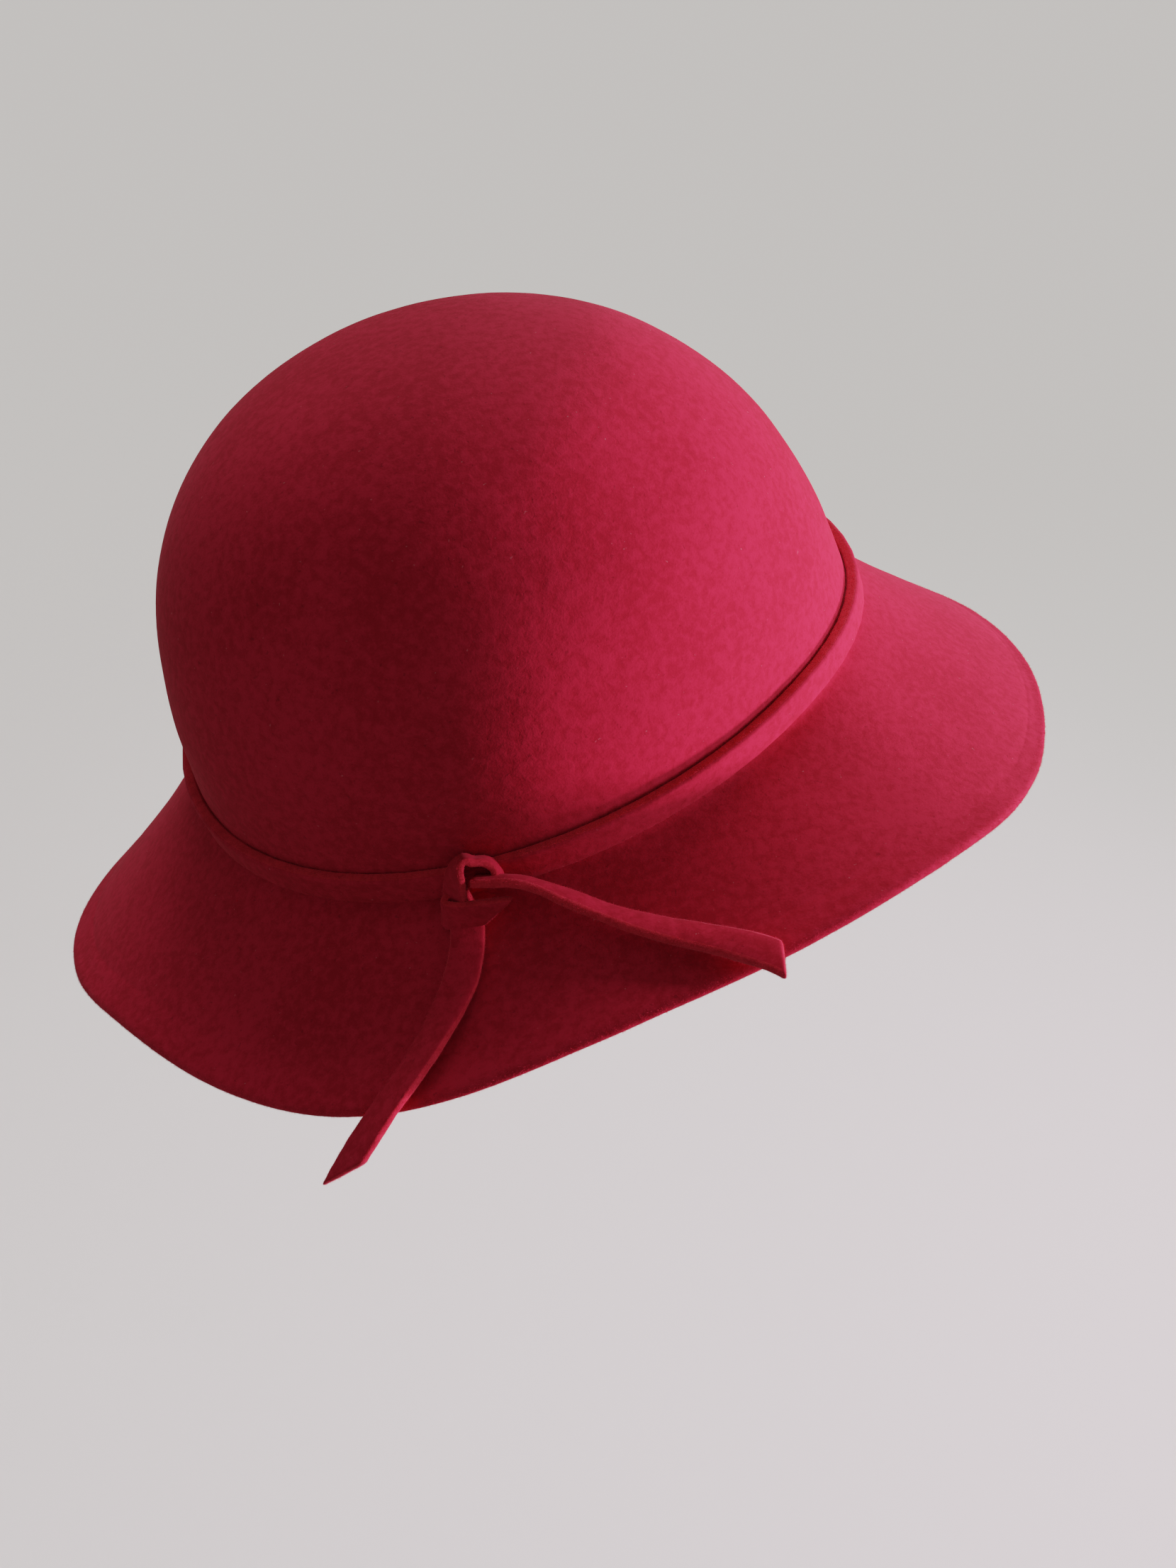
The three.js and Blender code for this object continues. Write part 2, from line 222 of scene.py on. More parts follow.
# %% Felt
def felt(name, deep, bright, lint_colour, relief, nap):
    material = bpy.data.materials.new(name)
    material.use_nodes = True
    tree = material.node_tree
    shader = tree.nodes["Principled BSDF"]
    shader.inputs["Roughness"].default_value = 0.9
    shader.inputs["Specular IOR Level"].default_value = 0.12
    shader.inputs["Sheen Weight"].default_value = nap
    shader.inputs["Sheen Roughness"].default_value = 0.5
    shader.inputs["Sheen Tint"].default_value = (*SHEEN_COLOUR, 1)
    place = tree.nodes.new("ShaderNodeTexCoord")
    mottle = noise_layer(tree, place, *MOTTLE)
    grain = noise_layer(tree, place, *GRAIN)
    pits = sharpened(tree, noise_layer(tree, place, *PITS), *PIT_RANGE)
    colour = felt_colour(tree, place, mottle, grain, pits, deep, bright, lint_colour)
    tree.links.new(colour, shader.inputs["Base Color"])
    tree.links.new(felt_bump(tree, mottle, grain, pits, relief), shader.inputs["Normal"])
    print(name, len(tree.nodes), "nodes")
    return material


# %% [markdown]
# ## Two felts
# The pressed faces of the felt are closed and fairly even. Where the felt has been cut, its inside shows:
# it is rougher and fuzzier. So the cut edges get a finish of their own, from the same function, with a
# deeper bump, far more nap and brighter colours. The brighter colours are partly the cut felt's own paler
# tone and partly painted light, for cut sides that catch the lamps.

# %% Two felts
felt_face = felt(
    "felt_face",
    deep=(0.40, 0.010, 0.025),
    bright=(0.54, 0.018, 0.044),
    lint_colour=(0.75, 0.25, 0.26),
    relief=0.25 * MM,
    nap=0.08,
)
# The cut felt's brighter colours are partly its own paler tone and partly painted light for lit cut sides.
cut_felt_painted_light = felt(
    "felt_cut_edge",
    deep=(0.48, 0.014, 0.028),
    bright=(0.66, 0.028, 0.050),
    lint_colour=(0.8, 0.30, 0.32),
    relief=0.45 * MM,
    nap=0.6,
)

# %% [markdown]
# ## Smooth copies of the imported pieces
# The shell and the band have their true shape in the frame already, only in flat faces. Modelling them
# again would lose that shape, so each is copied, its loose triangles are merged and turned back into
# four-sided faces, and a subdivision rounds it. Subdivision pulls a curved surface inwards, which would
# make the hat smaller. Each point is therefore moved out first, by just as far as it would be pulled in.

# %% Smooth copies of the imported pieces
MERGE_DISTANCE = 0.01 * MM


def smooth_copy(node, name):
    piece = bpy.data.objects.new(name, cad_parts[node].data.copy())
    bpy.context.collection.objects.link(piece)
    only(piece)
    bpy.ops.object.mode_set(mode="EDIT")
    bpy.ops.mesh.select_all(action="SELECT")
    bpy.ops.mesh.remove_doubles(threshold=MERGE_DISTANCE)
    bpy.ops.mesh.tris_convert_to_quads(face_threshold=math.pi, shape_threshold=math.pi)
    bpy.ops.object.mode_set(mode="OBJECT")
    piece.data.materials.clear()
    return piece


# %% Keeping the size
def keep_size(piece, levels):
    modifier = piece.modifiers.new("trial", "SUBSURF")
    modifier.levels = levels
    modifier.render_levels = levels
    smoothed = piece.evaluated_get(bpy.context.evaluated_depsgraph_get())
    shrunk = [smoothed.data.vertices[i].co.copy() for i in range(len(piece.data.vertices))]
    piece.modifiers.remove(modifier)
    for point, moved in zip(piece.data.vertices, shrunk):
        point.co = point.co * 2 - moved


# %% [markdown]
# ## The soft front
# A felt crown isn't a hard oval. At the front its foot has sagged a little under the band, by a few
# millimetres. Such a dent could be sculpted, but here a smooth falloff does it: every point near one place
# is moved the same way, by less the further off it is. The band sits tighter, so it is moved a bit more
# than the felt.

# %% The soft front
SOFT_PLACE = Vector((98, 2, 12)) * MM
SOFT_REACH = 80 * MM
FELT_SAG = Vector((-0.2, 0, -4.0)) * MM
BAND_SAG = Vector((0.2, 0, -5.0)) * MM


def sagged_in_front(piece, shift):
    for point in piece.data.vertices:
        near = 1 - ((point.co - SOFT_PLACE).length / SOFT_REACH) ** 2
        if near > 0:
            point.co += shift * near**2


# %% [markdown]
# ## The shell
# Crown and brim are one piece of felt, steamed over a block, so they are one piece here too. The copy is
# sagged, kept to size and subdivided twice, which gives faces about 2 mm wide: fine enough for the rounded
# lip of the brim and for the pressed line beside it.

# %% The shell
SMOOTHING = 2
felt_body = smooth_copy("felt_body", "felt_hat")
sagged_in_front(felt_body, FELT_SAG)
keep_size(felt_body, SMOOTHING)
apply_modifier(felt_body, "SUBSURF", levels=SMOOTHING, render_levels=SMOOTHING)
print(felt_body.name, "smoothed to", len(felt_body.data.polygons), "faces")

# %% [markdown]
# ## The brim's rim
# The hem and the loose fibres both follow the rim, so the rim is found once. All points are sorted by the
# direction in which they lie from the middle, and the furthest one in each direction is on the rim. A k-d
# tree of those points then tells quickly how far any point is from the rim.

# %% The brim's rim
RIM_STEP = math.radians(1.5)


def direction_step(place):
    return round(math.atan2(place.y, place.x) / RIM_STEP)


rim_points = {}
for point in felt_body.data.vertices:
    step = direction_step(point.co)
    if step not in rim_points or point.co.xy.length > rim_points[step].xy.length:
        rim_points[step] = point.co.copy()
rim = KDTree(len(rim_points))
for index, place in enumerate(rim_points.values()):
    rim.insert(place, index)
rim.balance()
print("rim of", len(rim_points), "points")

# %% [markdown]
# ## The hem
# The edge of the brim is folded under and pressed, and a faint line shows on top where the fold ends. The
# frame has that line deep and even. On the real hat it is soft, and at the front it runs closer to the
# edge, because the felt rolls over there. A sculpting brush could do both, but the distance from the rim
# says exactly which points belong to the line: they are lifted out of their groove, and at the front the
# whole hem is drawn towards the rim. Rounds of smoothing then take away what is left of the corner.

# %% The hem's numbers
HEM_LINE = 10.2 * MM
HEM_LIFT = 0.38 * MM
HEM_LIFT_REACH = 3.6 * MM
HEM_END = 18 * MM
HEM_NARROWING = 0.45
HEM_SMOOTHING = 24  # rounds
HEM_SIDE = Vector((0.98, -0.2, 0))  # the direction in which the hem is narrowest


def towards_rim(place, nearest):
    """The way from a place to the rim, without the part that runs along the rim."""
    step = direction_step(nearest)
    along = rim_points.get(step + 1, nearest) - rim_points.get(step - 1, nearest)
    along.normalize()
    way = nearest - place
    return way - along * way.dot(along)


# %% The hem
line_group = felt_body.vertex_groups.new(name="pressed line")
normals = [point.normal.copy() for point in felt_body.data.vertices]
for point, normal in zip(felt_body.data.vertices, normals):
    nearest, _, distance = rim.find(point.co)
    if distance >= HEM_END:
        continue
    way = towards_rim(point.co, nearest)
    narrowing = HEM_NARROWING * max(0, nearest.normalized().dot(HEM_SIDE)) ** 2
    fade = min(1, (HEM_END - distance) / (HEM_END - HEM_LINE))
    if normal.z > 0:
        point.co += normal * HEM_LIFT * max(0, 1 - ((distance - HEM_LINE) / HEM_LIFT_REACH) ** 2)
    point.co += way * narrowing * fade
    if distance > HEM_LINE / 2 and normal.z > 0:
        line_group.add([point.index], 1, "REPLACE")
apply_modifier(
    felt_body, "SMOOTH", factor=0.5, iterations=HEM_SMOOTHING, vertex_group=line_group.name
)
print("hem drawn in within", round(HEM_END / MM), "mm of the rim")

# %% [markdown]
# ## The hand-made unevenness
# No felt hat is exactly even. A displacement of half a millimetre, with soft clouds 3 cm wide, gives the
# light something to play on without changing the shape. Then the shell gets its felt, is shaded smooth,
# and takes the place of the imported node. Each point also stores how near it is to the lip of the brim,
# for the loose fibres that grow there later.

# %% The hand-made unevenness
UNEVENNESS = 0.5 * MM
UNEVEN_WIDTH = 0.03
LIP = 4 * MM
uneven = bpy.data.textures.new("uneven felt", "CLOUDS")
uneven.noise_scale = UNEVEN_WIDTH
uneven.noise_depth = 2
apply_modifier(
    felt_body, "DISPLACE", texture=uneven, texture_coords="LOCAL", strength=UNEVENNESS, mid_level=0.5
)
felt_body.data.materials.append(felt_face)
bpy.ops.object.shade_smooth()
rough = felt_body.data.attributes.new("rough", "FLOAT", "POINT")
for item, point in zip(rough.data, felt_body.data.vertices):
    item.value = max(0, 1 - rim.find(point.co)[2] / LIP) ** 2
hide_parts("felt_body")
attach(felt_body, "root")
print(felt_body.name, len(felt_body.data.polygons), "faces")

# %% [markdown]
# ## The band
# The band is a flat strap that stands on its edge round the foot of the crown, so its cut edges are its
# top and its bottom. The frame leaves a small gap between band and crown, because its pieces must not
# touch. A real band presses on the felt, so the band's inner face is moved inwards until it does.

# %% The band's inner face
BAND_INWARDS = 1.3 * MM
band = smooth_copy("band", "felt_band")
middle = sum((point.co for point in band.data.vertices), Vector()) / len(band.data.vertices)
inner = []
for point in band.data.vertices:
    outwards = ((point.co - middle) * Vector((1, 1, 0))).normalized()
    if point.normal.dot(outwards) < 0:
        inner.append((point, outwards))
sagged_in_front(band, BAND_SAG)
for point, outwards in inner:
    point.co -= outwards * BAND_INWARDS
print("band's inner face has", len(inner), "of", len(band.data.vertices), "points")

# %% [markdown]
# A cut edge is crisp but not sharp. Subdivision alone would round the strap into a cord, and a bevel would
# need one width for every bend. A crease of three quarters on the edges keeps them crisp and leaves a
# small round. The top and bottom faces then get the cut finish, and the others the pressed one.

# %% The band's edges
CRISP = 0.75
SHARP_ANGLE = math.radians(25)
CUT_SLOPE = 0.85  # faces whose normal is steeper than this are the cut ones
band.data.materials.append(felt_face)
# The cut finish carries some painted light on the band's top and bottom.
band.data.materials.append(cut_felt_painted_light)
only(band)
bpy.ops.object.mode_set(mode="EDIT")
bpy.ops.mesh.select_all(action="DESELECT")
bpy.ops.mesh.edges_select_sharp(sharpness=SHARP_ANGLE)
bpy.ops.transform.edge_crease(value=CRISP)
bpy.ops.object.mode_set(mode="OBJECT")
for face in band.data.polygons:
    face.material_index = 1 if abs(face.normal.z) > CUT_SLOPE else 0
apply_modifier(band, "SUBSURF", levels=SMOOTHING, render_levels=SMOOTHING)
bpy.ops.object.shade_smooth()
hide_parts("band")
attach(band, "root")
print(band.name, len(band.data.polygons), "faces")

# %% [markdown]
# ## A strap
# The knot and the two ties are lengths of the same strap. A flat strap that bends and twists could be a
# bevelled curve, but a curve's end can't be cut on a slant, and its faces and cut sides would share one
# finish. So each length starts as a straight bar, is cut and shaped while it is straight, as it would be
# on a table, and is then bent along a guide curve. The guide's tilt, point by point, is the strap's twist.

# %% The guide that a strap follows
STRAP_WIDTH = 8.5 * MM
STRAP_THICKNESS = 2.2 * MM
GUIDE_STEPS = 20


def guide_for(name, route):
    guide = bpy.data.curves.new(name + "_guide", "CURVE")
    guide.dimensions = "3D"
    guide.twist_mode = "Z_UP"
    guide.resolution_u = GUIDE_STEPS
    line = guide.splines.new("BEZIER")
    line.bezier_points.add(len(route) - 1)
    line.tilt_interpolation = "CARDINAL"
    for point, (x, y, z, turn) in zip(line.bezier_points, route):
        point.co = Vector((x, y, z)) * MM
        point.handle_left_type = "AUTO"
        point.handle_right_type = "AUTO"
        point.tilt = math.radians(turn)
    holder = bpy.data.objects.new(name + "_guide", guide)
    bpy.context.collection.objects.link(holder)
    return holder, line.calc_length()


# %% Selecting edges by their direction
def select_edges(piece, wanted):
    only(piece)
    bpy.ops.object.mode_set(mode="EDIT")
    bpy.ops.mesh.select_mode(type="EDGE")
    bpy.ops.mesh.select_all(action="DESELECT")
    bpy.ops.object.mode_set(mode="OBJECT")
    for edge in piece.data.edges:
        first, second = (piece.data.vertices[i].co for i in edge.vertices)
        edge.select = wanted(second - first)
    bpy.ops.object.mode_set(mode="EDIT")


# %% [markdown]
# The straight bar is a cube, drawn out to the strap's length, width and thickness. A slanted end is cut by
# a bisecting plane. Then the long edges are divided, so that the bar can bend, and the short ones across
# it, so that its middle can be raised. The slant is how far the cut runs along the strap for each step
# across it.

# %% The straight bar
BEND_STEP = 1.6 * MM
FEWEST_CUTS = 6
CROSS_CUTS = 3
LENGTHWISE = 0.95  # an edge with this share of its length along the bar is a long one
CROSSWISE = 0.4  # and one with this share across it is a short one, also at a slanted end


def straight_bar(name, length, width, slant):
    bpy.ops.object.select_all(action="DESELECT")
    bpy.ops.mesh.primitive_cube_add(size=1)
    piece = bpy.context.object
    piece.name = name
    bpy.ops.object.mode_set(mode="EDIT")
    bpy.ops.transform.resize(value=(length, width, STRAP_THICKNESS))
    bpy.ops.transform.translate(value=(length / 2, 0, 0))
    if slant:
        bpy.ops.mesh.select_all(action="SELECT")
        cut_middle = (length - abs(slant) * width / 2, 0, 0)
        cut_normal = Vector((1, slant, 0)).normalized()
        bpy.ops.mesh.bisect(plane_co=cut_middle, plane_no=cut_normal, use_fill=True, clear_outer=True)
    select_edges(piece, lambda way: abs(way.x) > LENGTHWISE * way.length and way.length > 2 * width)
    bpy.ops.mesh.subdivide(number_cuts=max(FEWEST_CUTS, round(length / BEND_STEP)))
    select_edges(piece, lambda way: abs(way.y) > CROSSWISE * way.length)
    bpy.ops.mesh.subdivide(number_cuts=CROSS_CUTS)
    bpy.ops.object.mode_set(mode="OBJECT")
    return piece


# %% [markdown]
# Two small shapings come while the bar is straight. The crown raises the middle of its width, as a pressed
# strip curls, and the pinch makes its far end narrower, where a knot squeezes it. Its edges are bevelled,
# its flat faces and its cut sides get their finishes, and the curve modifier bends it. Last come one
# subdivision and a slight waviness, because a strip cut by hand is never quite even.

# %% The finished strap
EDGE_ROUND = 0.7 * MM
EDGE_ANGLE = math.radians(50)
FLAT_SLOPE = 0.8  # faces whose normal is steeper than this are the pressed ones
WAVINESS = 0.5 * MM
WAVE_WIDTH = 0.007


def strap(name, route, width=STRAP_WIDTH, slant=0.0, crown=0.0, pinch=1.0):
    guide, length = guide_for(name, route)
    piece = straight_bar(name, length, width, slant)
    for point in piece.data.vertices:
        point.co.z += crown * (1 - (2 * point.co.y / width) ** 2)
        point.co.y *= 1 + (pinch - 1) * point.co.x / length
    apply_modifier(
        piece, "BEVEL", width=EDGE_ROUND, segments=2, limit_method="ANGLE", angle_limit=EDGE_ANGLE
    )
    piece.data.materials.append(felt_face)
    # The cut finish carries some painted light on the strap's cut sides.
    piece.data.materials.append(cut_felt_painted_light)
    for face in piece.data.polygons:
        face.material_index = 0 if abs(face.normal.z) > FLAT_SLOPE else 1
    apply_modifier(piece, "CURVE", object=guide, deform_axis="POS_X")
    bpy.data.objects.remove(guide)
    apply_modifier(piece, "SUBSURF", levels=1, render_levels=1)
    wavy = bpy.data.textures.new(name + "_wave", "CLOUDS")
    wavy.noise_scale = WAVE_WIDTH
    apply_modifier(
        piece, "DISPLACE", texture=wavy, texture_coords="LOCAL", strength=WAVINESS, mid_level=0.5
    )
    bpy.ops.object.shade_smooth()
    print(name, "length", round(length / MM, 1), "mm,", len(piece.data.polygons), "faces")
    return piece


# %% [markdown]
# ## The knot's own axes
# A knot is easier to lay out in directions of its own. The strap that goes round the band is laid out along
# the band: forward, up, and out from the crown. The loop and the ties are laid out as they are seen from
# in front of the knot: across, rising, and towards the eye. Each piece is bent near the origin in those
# directions and its mesh is then moved to its place, so that the object itself stays unmoved.
#
# A route is a list of points in millimetres, each with the strap's turn there in degrees.

# %% The knot's own axes
KNOT_FOOT = Vector((-26.3, -85.5, 0)) * MM
FORWARD = Vector((0.976, -0.216, 0)).normalized()
UP = Vector((0, 0, 1))
OUT = FORWARD.cross(UP)
KNOT_PLACE = Vector((-30.4, -92.8, 2.9)) * MM
ACROSS = Vector((0.947, -0.204, -0.250)).normalized()
RISE = Vector((0.322, 0.652, 0.687))
FACE = ACROSS.cross(RISE).normalized()
RISE = FACE.cross(ACROSS)


def placed(piece, origin, first, second, third):
    axes = Matrix((first, second, third)).transposed().to_4x4()
    piece.data.transform(Matrix.Translation(origin) @ axes)
    return piece


def leaning(name, rows, **settings):
    return placed(strap(name, rows, **settings), KNOT_PLACE, ACROSS, RISE, FACE)


def lying_round(name, rows, **settings):
    piece = strap(name, [(out, forward, up, turn) for forward, up, out, turn in rows], **settings)
    return placed(piece, KNOT_FOOT, OUT, FORWARD, UP)


# %% [markdown]
# ## The knot
# Outside the hat the knot shows two turns of the strap. One wraps round the band, low down, and ends in a
# slanted corner to the front. The other rises from behind the first, bends over at the top and comes down
# again, and leaves a small dark eye under it. A sculpted lump would hide how it is tied, so both turns are
# real straps, a touch narrower than the ties because the knot squeezes them.

# %% The turn that wraps the band
KNOT_WIDTH = 8.2 * MM
wrap = lying_round("knot_wrap", [
    (-1, 2.0, 4.4, 90),
    (-5.3, 2.0, 4.5, 82),
    (-7.8, 2.0, 5.9, 72),
    (-7.6, 2.0, 8.0, 72),
    (-4.5, 2.0, 9.1, 82),
    (0, 2.0, 9.3, 90),
    (5, 2.0, 9.5, 90),
    (11.2, 2.0, 9.8, 90),
], slant=-1.15, width=KNOT_WIDTH)

# %% The turn that stands up as a loop
loop = leaning("knot_loop", [
    (-2.2, -3.0, -3.6, -15),
    (-2.2, 0.5, -2.4, -22),
    (-2.1, 3.8, 0.6, -38),
    (-1.7, 7.6, 4.2, -50),
    (-1.3, 10.6, 5.4, -66),
    (0.2, 12.5, 5.3, -82),
    (2.2, 11.8, 4.6, -86),
    (4.8, 11.9, 3.8, -84),
    (7.0, 11.0, 3.2, -82),
    (8.2, 9.1, 2.4, -78),
    (7.6, 7.2, 1.4, -80),
    (6.4, 6.2, 0.6, -84),
], width=KNOT_WIDTH, pinch=0.7)

# %% [markdown]
# ## The two ties
# Both free ends are stiff enough to stand clear of the brim. The back one comes out under the wrap, falls
# over the brim and passes its edge, turning on its side as it goes. The front one leaves the loop on its
# edge and slowly turns its face up, so more of the face shows towards the tip. Felt holds such a curve by
# itself, so the routes are given as listed points, not by a hanging simulation. Both ends are cut on a
# slant.

# %% The back tie
tie_back = leaning("tie_back", [
    (0.1, -1.0, -2.9, 0),
    (0.6, -5.9, -2.0, 3),
    (0.6, -11.2, 1.4, 6),
    (-1.1, -18.4, 4.4, 18),
    (-4.9, -26.5, 8.4, 40),
    (-9.8, -34.6, 11.2, 50),
    (-16.0, -43.3, 14.2, 52),
    (-21.2, -51.2, 15.0, 50),
    (-25.2, -57.9, 14.2, 47),
    (-29.7, -65.9, 12.7, 44),
], slant=1.55, crown=0.3 * MM)

# %% The front tie
tie_front = leaning("tie_front", [
    (2.6, 6.4, 3.0, -88),
    (6.2, 6.6, 3.6, -88),
    (12.3, 6.8, 4.4, -87),
    (18.3, 5.6, 5.4, -84),
    (25.0, 3.3, 7.0, -75),
    (33.5, 0.1, 8.2, -73),
    (41.7, -2.3, 10.2, -67),
    (49.9, -4.0, 12.6, -60),
    (57.9, -5.2, 15.2, -53),
    (65.7, -6.6, 18.8, -46),
    (71.4, -8.0, 22.5, -42),
    (76.1, -9.8, 26.3, -40),
], slant=0.75, crown=0.9 * MM)

# %% [markdown]
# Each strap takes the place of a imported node, and both turns of the knot share one. Everything rides on
# the hat's single body, since felt has no joint.

# %% What the straps stand for
straps = ((wrap, "knot"), (loop, "knot"), (tie_back, "tie_end_back"), (tie_front, "tie_end_front"))
for piece, node in straps:
    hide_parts(node)
    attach(piece, "root")
print(len(straps), "straps placed")

# %% [markdown]
# ## Loose fibres
# Wherever felt is cut or folded hard, fibres stand out from it, and they blur its outline with a thin
# bright line. A particle system could grow them, but it has no mesh of its own. Geometry nodes do: they
# scatter points on the faces, set a tiny closed needle on each and realize the needles as one mesh. How
# many grow where is read from an attribute named rough, from 0 to 1. Each needle leans at random and has
# a length of its own, from seeds, so every run grows the same fibres.

# %% The chance of a fibre, and its lean and size
FIBRE_LEAN = 0.9
FIBRE_SCALES = (0.4, 1.2)


def fibre_roots(tree, start, density, seed):
    share = tree.nodes.new("GeometryNodeInputNamedAttribute")
    share.data_type = "FLOAT"
    share.inputs["Name"].default_value = "rough"
    count = tree.nodes.new("ShaderNodeMath")
    count.operation = "MULTIPLY"
    count.inputs[1].default_value = density
    roots = tree.nodes.new("GeometryNodeDistributePointsOnFaces")
    roots.inputs["Seed"].default_value = seed
    tree.links.new(start.outputs[0], roots.inputs["Mesh"])
    tree.links.new(share.outputs["Attribute"], count.inputs[0])
    tree.links.new(count.outputs[0], roots.inputs["Density"])
    return roots


def fibre_turn(tree, roots, seed):
    lean = tree.nodes.new("FunctionNodeRandomValue")
    lean.data_type = "FLOAT_VECTOR"
    lean.inputs[0].default_value = (-FIBRE_LEAN, -FIBRE_LEAN, -math.pi)
    lean.inputs[1].default_value = (FIBRE_LEAN, FIBRE_LEAN, math.pi)
    lean.inputs["Seed"].default_value = seed
    turn = tree.nodes.new("FunctionNodeEulerToRotation")
    both = tree.nodes.new("FunctionNodeRotateRotation")
    both.rotation_space = "LOCAL"
    tree.links.new(roots.outputs["Rotation"], both.inputs[0])
    tree.links.new(lean.outputs[0], turn.inputs[0])
    tree.links.new(turn.outputs[0], both.inputs[1])
    return both.outputs[0]


def fibre_size(tree, seed):
    size = tree.nodes.new("FunctionNodeRandomValue")
    size.data_type = "FLOAT"
    size.inputs[2].default_value, size.inputs[3].default_value = FIBRE_SCALES
    size.inputs["Seed"].default_value = seed
    return size.outputs[1]


# %% The tree that grows the fibres
def fibre_tree(needle, density, seed):
    tree = bpy.data.node_groups.new("loose fibres", "GeometryNodeTree")
    for way in ("INPUT", "OUTPUT"):
        tree.interface.new_socket("Geometry", in_out=way, socket_type="NodeSocketGeometry")
    start = tree.nodes.new("NodeGroupInput")
    roots = fibre_roots(tree, start, density, seed)
    shape = tree.nodes.new("GeometryNodeObjectInfo")
    shape.inputs["Object"].default_value = needle
    grown = tree.nodes.new("GeometryNodeInstanceOnPoints")
    real = tree.nodes.new("GeometryNodeRealizeInstances")
    end = tree.nodes.new("NodeGroupOutput")
    tree.links.new(roots.outputs["Points"], grown.inputs["Points"])
    tree.links.new(shape.outputs["Geometry"], grown.inputs["Instance"])
    tree.links.new(fibre_turn(tree, roots, seed + 1), grown.inputs["Rotation"])
    tree.links.new(fibre_size(tree, seed + 2), grown.inputs["Scale"])
    tree.links.new(grown.outputs["Instances"], real.inputs["Geometry"])
    tree.links.new(real.outputs["Geometry"], end.inputs[0])
    return tree


# %% [markdown]
# One needle is a cone with three sides, four faces in all, because there will be tens of thousands. A tenth
# of it sits under the surface. Its colour is plain, since a pattern would never show on something so thin.
# It is a little brighter than the cut felt as painted light, for fibres that the lamps catch and shine
# through.

# %% One needle
FIBRE_LENGTH = 0.6 * MM
FIBRE_RADIUS = 0.035 * MM
loose_fibres = bpy.data.materials.new("loose_fibres")
loose_fibres.use_nodes = True
fibre_shader = loose_fibres.node_tree.nodes["Principled BSDF"]
# This base colour is lighter than the felt's own, as painted light for lit fibres.
fibre_shader.inputs["Base Color"].default_value = (0.72, 0.045, 0.085, 1)
fibre_shader.inputs["Roughness"].default_value = 0.9
fibre_shader.inputs["Specular IOR Level"].default_value = 0.1
bpy.ops.object.select_all(action="DESELECT")
bpy.ops.mesh.primitive_cone_add(vertices=3, radius1=FIBRE_RADIUS, radius2=0, depth=FIBRE_LENGTH)
needle = bpy.context.object
needle.data.transform(Matrix.Translation((0, 0, FIBRE_LENGTH * 0.4)))
print("a needle has", len(needle.data.polygons), "faces")

# %% [markdown]
# The shell already stores how near each point is to its lip. On the band and the straps the fibres grow
# from the cut faces alone. The copy that they grow from vanishes, and only the needles stay.

# %% Growing them
FIBRES_PER_SQUARE_METRE = 12e6
SEED_STEP = 10


def grow_fibres(piece, node, seed):
    fibres = bpy.data.objects.new(piece.name + "_fuzz", piece.data.copy())
    bpy.context.collection.objects.link(fibres)
    if "rough" not in fibres.data.attributes:
        cut_faces = fibres.data.attributes.new("rough", "FLOAT", "FACE")
        for item, face in zip(cut_faces.data, fibres.data.polygons):
            item.value = 1 if face.material_index == 1 else 0
    apply_modifier(fibres, "NODES", node_group=fibre_tree(needle, FIBRES_PER_SQUARE_METRE, seed))
    fibres.data.materials.clear()
    fibres.data.materials.append(loose_fibres)
    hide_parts(node)
    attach(fibres, "root")
    print(fibres.name, len(fibres.data.polygons), "faces")


for order, (piece, node) in enumerate(((felt_body, "felt_body"), (band, "band"), *straps)):
    grow_fibres(piece, node, SEED_STEP * order)
bpy.data.objects.remove(needle)

# %% [markdown]
# ## The floor
# The hat hangs in the air, as it would on a head, and the floor is far below it. A pale floor near the
# hat would throw a good deal of light up under the brim. This one is low, and it is left out of diffuse
# bounces, so that the felt keeps its dark side.

# %% The floor
FLOOR_Z = -0.9  # metres
FLOOR_SIZE = 60
bpy.ops.object.select_all(action="DESELECT")
bpy.ops.mesh.primitive_plane_add(size=FLOOR_SIZE, location=(0, 0, FLOOR_Z))
floor = bpy.context.object
floor.name = "floor"
pale_floor = bpy.data.materials.new("pale_floor")
pale_floor.use_nodes = True
floor_shader = pale_floor.node_tree.nodes["Principled BSDF"]
floor_shader.inputs["Base Color"].default_value = (0.74, 0.71, 0.69, 1)
floor_shader.inputs["Roughness"].default_value = 0.95
floor.data.materials.append(pale_floor)
floor.visible_diffuse = False
print("floor at", FLOOR_Z)

# %% [markdown]
# ## The room
# The room gives the soft light that fills the shadows, and it is weak, because the felt's dark side is
# really dark. If that same weak grey were seen behind the hat, the room would look gloomy. So the world has
# two backgrounds: one that lights the hat, and a paler one that only the camera sees.

# %% The room
ROOM_LIGHT = ((0.97, 1.0, 0.97), 0.17)
ROOM_SEEN = ((1.0, 0.965, 0.935), 0.74)
world = bpy.data.worlds.new("room")
bpy.context.scene.world = world
world.use_nodes = True
room = world.node_tree
lighting = room.nodes["Background"]
seen = room.nodes.new("ShaderNodeBackground")
for background, (colour, strength) in ((lighting, ROOM_LIGHT), (seen, ROOM_SEEN)):
    background.inputs["Color"].default_value = (*colour, 1)
    background.inputs["Strength"].default_value = strength
ray = room.nodes.new("ShaderNodeLightPath")
either = room.nodes.new("ShaderNodeMixShader")
room.links.new(ray.outputs["Is Camera Ray"], either.inputs["Fac"])
room.links.new(lighting.outputs[0], either.inputs[1])
room.links.new(seen.outputs[0], either.inputs[2])
room.links.new(either.outputs[0], room.nodes["World Output"].inputs["Surface"])
print("room light", ROOM_LIGHT[1])

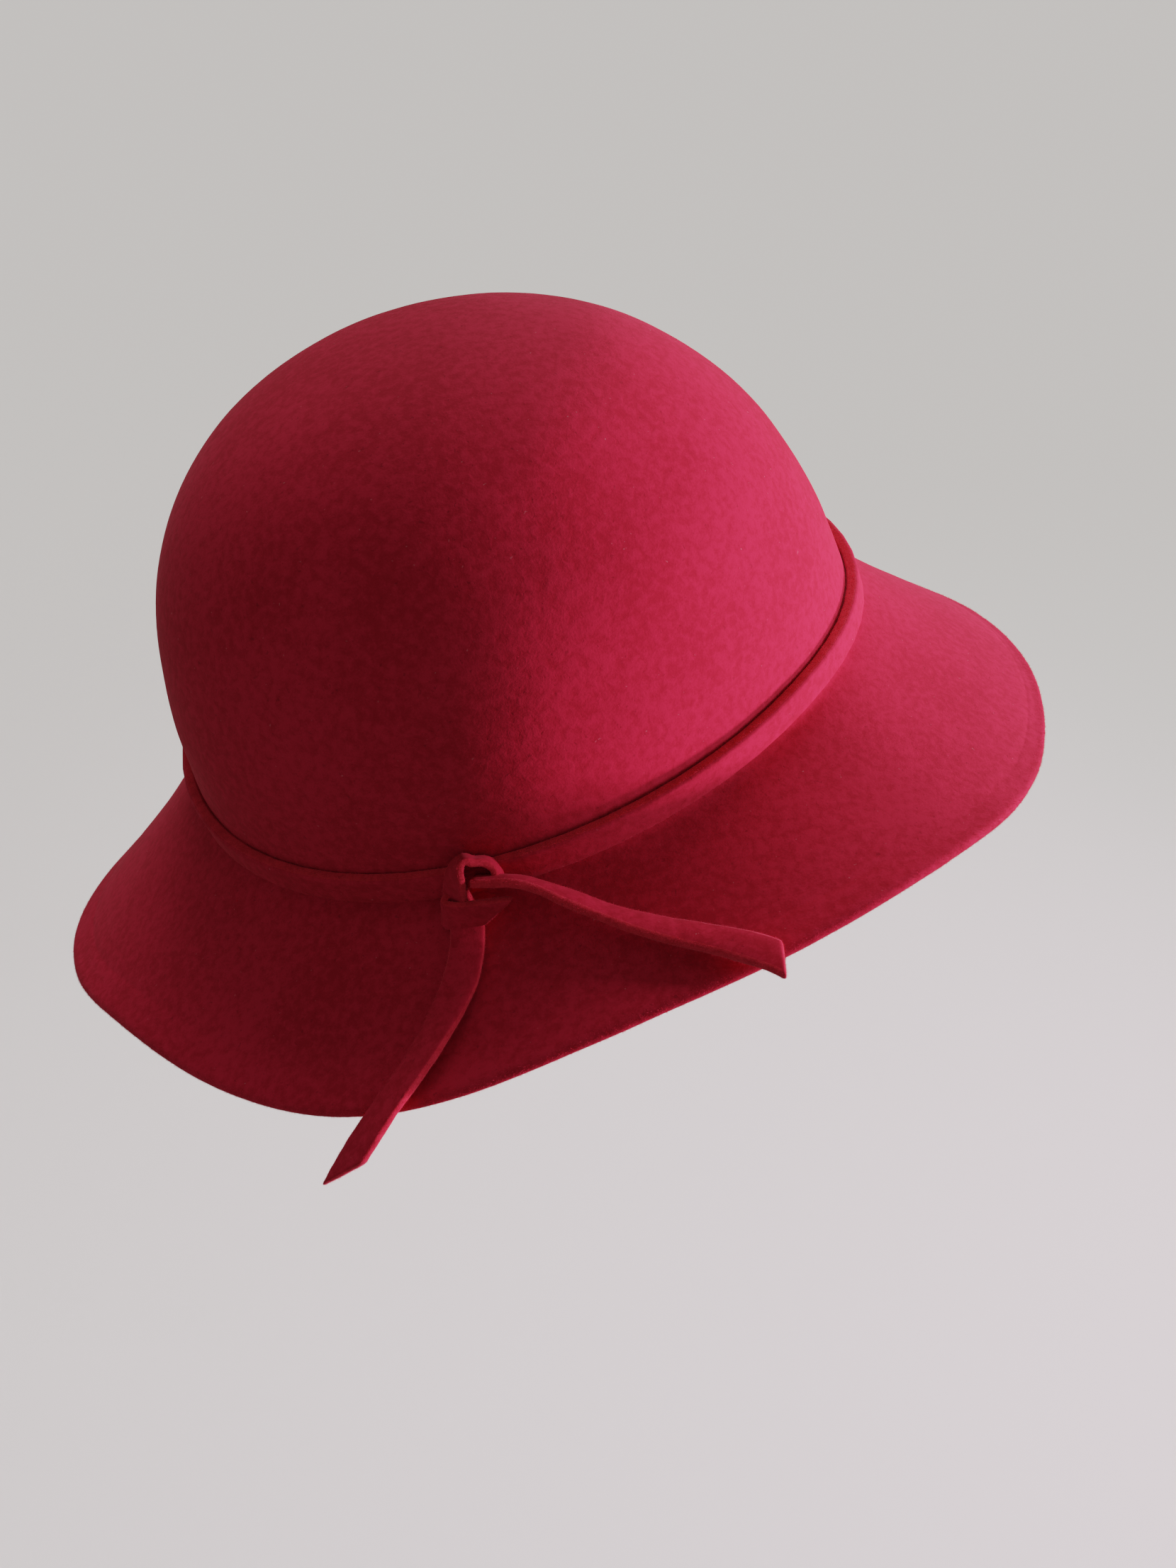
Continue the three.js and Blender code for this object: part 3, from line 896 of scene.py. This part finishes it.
# %% [markdown]
# ## The soft lights
# The hat is lit from its front by a window at about its own height, so that one side of the crown is bright
# and the other dark. A second light comes from below the window, as light thrown back up by a table would,
# and its colour is pinker. A large faint light from high on the far side lifts the top of the crown. A
# point light would give hard shadows, so all three are area lights: the first two are 20 to 30 cm across,
# which leaves the shadow of the ties a soft edge. They are placed by two angles and a distance, as lamps
# on stands are. The azimuth goes round from the front of the hat to the wearer's left.

# %% Placing a soft light
LIGHT_DISTANCE = 1.6
AIM = Vector((0, 0, 0.02))
SPREAD = math.radians(100)


def around_hat(azimuth, elevation):
    level = LIGHT_DISTANCE * math.cos(math.radians(elevation))
    turn = math.radians(azimuth)
    height = LIGHT_DISTANCE * math.sin(math.radians(elevation))
    return AIM + Vector((level * math.cos(turn), level * math.sin(turn), height))


def soft_light(name, azimuth, elevation, size, power, colour):
    light = bpy.data.lights.new(name, "AREA")
    light.shape = "RECTANGLE"
    light.size, light.size_y = size
    light.energy = power
    light.color = colour
    light.spread = SPREAD
    holder = bpy.data.objects.new(name, light)
    bpy.context.collection.objects.link(holder)
    holder.location = around_hat(azimuth, elevation)
    holder.rotation_euler = (holder.location - AIM).to_track_quat("Z", "Y").to_euler()
    print(name, "at", [round(c, 2) for c in holder.location])


# %% The soft lights
soft_light("window", -9, -3, size=(0.2, 0.3), power=5.6, colour=(1.0, 0.80, 1.05))
soft_light("low_window", -12, -22, size=(0.2, 0.2), power=13.6, colour=(1.0, 0.45, 0.75))
soft_light("high_fill", 60, 45, size=(0.8, 0.8), power=3.4, colour=(1.0, 0.95, 1.05))

# %% [markdown]
# ## The floor's own light
# Lights that suit a dark red felt leave a pale floor dull, and brighter ones would wash out the felt. A
# very soft sun that is linked to the floor alone solves this: light linking lets a light fall on one
# collection and on nothing else. The view transform is chosen last. Filmic keeps the bright side of a
# strong red from burning out to a flat pink.

# %% The floor's own light
sky_data = bpy.data.lights.new("floor_sky", "SUN")
sky_data.energy = 2.7
sky_data.color = (1.0, 0.965, 0.945)
sky_data.angle = math.radians(120)
sky = bpy.data.objects.new("floor_sky", sky_data)
bpy.context.collection.objects.link(sky)
only_floor = bpy.data.collections.new("only the floor")
only_floor.objects.link(floor)
sky.light_linking.receiver_collection = only_floor
bpy.context.scene.view_settings.view_transform = "Filmic"
print("floor light", round(sky_data.energy, 2))
